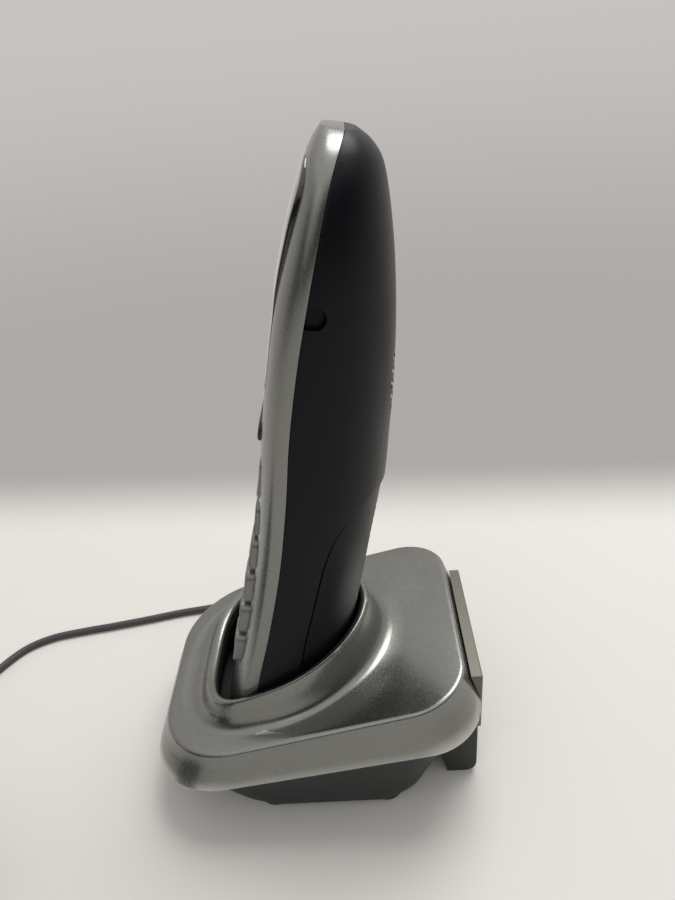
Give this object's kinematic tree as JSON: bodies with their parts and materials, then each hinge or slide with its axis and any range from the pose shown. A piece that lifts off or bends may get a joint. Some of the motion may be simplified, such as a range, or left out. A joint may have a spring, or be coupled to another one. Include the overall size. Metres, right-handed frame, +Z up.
{
  "type": "cordless telephone with charging base",
  "caption": "Slim cordless handset standing upright in a small sloping desk cradle, with sliding battery cover, keypad, and a mains adaptor on a thin cord",
  "frame": {"origin": "on the ground under the middle of the base", "axes": "+X to the right as its user sees it, +Y towards the back of the base, +Z up; the display faces -Y"},
  "size_m": [0.1437, 0.2116, 0.1648],
  "materials": {
    "silver_paint": "satin silver metallic paint on plastic, fine grain, light wear",
    "charcoal_plastic": "satin charcoal plastic with a slight blue tint",
    "case_plastic": "dark grey satin plastic, fine texture",
    "black_plastic": "black plastic, semi gloss",
    "key_silver": "silver painted keys, smooth",
    "key_call": "bright silver call keys, smooth",
    "lens_glass": "clear display window over a grey green display",
    "lcd_face": "grey green liquid crystal display",
    "board": "green solder mask",
    "contact_gold": "gold plated contact metal",
    "steel": "bright zinc plated or nickel plated steel",
    "mat_rubber": "grey silicone rubber",
    "foot_rubber": "black rubber feet",
    "cord_rubber": "dark grey flexible cord sheath, satin",
    "adaptor_plastic": "black adaptor plastic, fine texture",
    "cell_wrap": "printed film around a cell"
  },
  "bodies": {
    "base": {"base_cover": "silver_paint", "cradle_pocket": "black_plastic", "base_case": "case_plastic", "rear_hood": "silver_paint", "base_board": "board", "power_jack": "black_plastic", "line_jack": "black_plastic", "base_feet": "foot_rubber", "base_screws": "steel", "power_plug": "adaptor_plastic", "power_cord": "cord_rubber", "cord_coil": "cord_rubber", "adaptor_body": "adaptor_plastic", "adaptor_pins": "steel"},
    "handset": {"front_frame": "silver_paint", "faceplate": "charcoal_plastic", "display_lens": "lens_glass", "lcd_module": "lcd_face", "earpiece": "black_plastic", "keypad_mat": "mat_rubber", "microphone": "steel", "handset_board": "board", "rear_shell": "charcoal_plastic", "ringer_speaker": "black_plastic", "battery_left": "cell_wrap", "battery_right": "cell_wrap", "battery_springs": "steel", "battery_plates": "steel", "antenna": "contact_gold", "charge_pads": "contact_gold", "handset_screws": "steel"},
    "battery_cover": {"battery_cover": "charcoal_plastic"},
    "nav_key": {"nav_key": "black_plastic"},
    "contact_left": {"contact_left": "contact_gold"},
    "contact_right": {"contact_right": "contact_gold"},
    "talk_key": {"talk_key": "key_call"},
    "end_key": {"end_key": "key_call"},
    "key_1": {"key_1": "key_silver"},
    "key_2": {"key_2": "key_silver"},
    "key_3": {"key_3": "key_silver"},
    "key_4": {"key_4": "key_silver"},
    "key_5": {"key_5": "key_silver"},
    "key_6": {"key_6": "key_silver"},
    "key_7": {"key_7": "key_silver"},
    "key_8": {"key_8": "key_silver"},
    "key_9": {"key_9": "key_silver"},
    "key_star": {"key_star": "key_silver"},
    "key_0": {"key_0": "key_silver"},
    "key_hash": {"key_hash": "key_silver"},
    "redial_key": {"redial_key": "key_silver"},
    "hold_key": {"hold_key": "key_silver"},
    "intercom_key": {"intercom_key": "key_silver"}
  },
  "joints": [
    {"name": "handset_lift", "type": "slide", "parent": "base", "child": "handset", "axis": [0, 0.2079, 0.9781], "range_m": [0, 0.12]},
    {"name": "battery_cover_slide", "type": "slide", "parent": "handset", "child": "battery_cover", "axis": [0, -0.2079, -0.9781], "range_m": [0, 0.004]},
    {"name": "nav_key_rock", "type": "hinge", "parent": "handset", "child": "nav_key", "pos_m": [0, -0.00259, 0.10436], "axis": [1, 0, 0], "range_deg": [-3, 3], "stiffness_Nm_per_rad": 0.05},
    {"name": "talk_key_press", "type": "slide", "parent": "handset", "child": "talk_key", "axis": [0, 0.9781, -0.2079], "range_m": [0, 0.0008], "stiffness_N_per_m": 600},
    {"name": "end_key_press", "type": "slide", "parent": "handset", "child": "end_key", "axis": [0, 0.9781, -0.2079], "range_m": [0, 0.0008], "stiffness_N_per_m": 600},
    {"name": "key_1_press", "type": "slide", "parent": "handset", "child": "key_1", "axis": [0, 0.9781, -0.2079], "range_m": [0, 0.0008], "stiffness_N_per_m": 600},
    {"name": "key_2_press", "type": "slide", "parent": "handset", "child": "key_2", "axis": [0, 0.9781, -0.2079], "range_m": [0, 0.0008], "stiffness_N_per_m": 600},
    {"name": "key_3_press", "type": "slide", "parent": "handset", "child": "key_3", "axis": [0, 0.9781, -0.2079], "range_m": [0, 0.0008], "stiffness_N_per_m": 600},
    {"name": "key_4_press", "type": "slide", "parent": "handset", "child": "key_4", "axis": [0, 0.9781, -0.2079], "range_m": [0, 0.0008], "stiffness_N_per_m": 600},
    {"name": "key_5_press", "type": "slide", "parent": "handset", "child": "key_5", "axis": [0, 0.9781, -0.2079], "range_m": [0, 0.0008], "stiffness_N_per_m": 600},
    {"name": "key_6_press", "type": "slide", "parent": "handset", "child": "key_6", "axis": [0, 0.9781, -0.2079], "range_m": [0, 0.0008], "stiffness_N_per_m": 600},
    {"name": "key_7_press", "type": "slide", "parent": "handset", "child": "key_7", "axis": [0, 0.9781, -0.2079], "range_m": [0, 0.0008], "stiffness_N_per_m": 600},
    {"name": "key_8_press", "type": "slide", "parent": "handset", "child": "key_8", "axis": [0, 0.9781, -0.2079], "range_m": [0, 0.0008], "stiffness_N_per_m": 600},
    {"name": "key_9_press", "type": "slide", "parent": "handset", "child": "key_9", "axis": [0, 0.9781, -0.2079], "range_m": [0, 0.0008], "stiffness_N_per_m": 600},
    {"name": "key_star_press", "type": "slide", "parent": "handset", "child": "key_star", "axis": [0, 0.9781, -0.2079], "range_m": [0, 0.0008], "stiffness_N_per_m": 600},
    {"name": "key_0_press", "type": "slide", "parent": "handset", "child": "key_0", "axis": [0, 0.9781, -0.2079], "range_m": [0, 0.0008], "stiffness_N_per_m": 600},
    {"name": "key_hash_press", "type": "slide", "parent": "handset", "child": "key_hash", "axis": [0, 0.9781, -0.2079], "range_m": [0, 0.0008], "stiffness_N_per_m": 600},
    {"name": "redial_key_press", "type": "slide", "parent": "handset", "child": "redial_key", "axis": [0, 0.9781, -0.2079], "range_m": [0, 0.0008], "stiffness_N_per_m": 600},
    {"name": "hold_key_press", "type": "slide", "parent": "handset", "child": "hold_key", "axis": [0, 0.9781, -0.2079], "range_m": [0, 0.0008], "stiffness_N_per_m": 600},
    {"name": "intercom_key_press", "type": "slide", "parent": "handset", "child": "intercom_key", "axis": [0, 0.9781, -0.2079], "range_m": [0, 0.0008], "stiffness_N_per_m": 600},
    {"name": "contact_left_press", "type": "slide", "parent": "base", "child": "contact_left", "axis": [0, 0.2079, 0.9781], "range_m": [-0.0008, 0], "stiffness_N_per_m": 300},
    {"name": "contact_right_press", "type": "slide", "parent": "base", "child": "contact_right", "axis": [0, 0.2079, 0.9781], "range_m": [-0.0008, 0], "stiffness_N_per_m": 300}
  ]
}
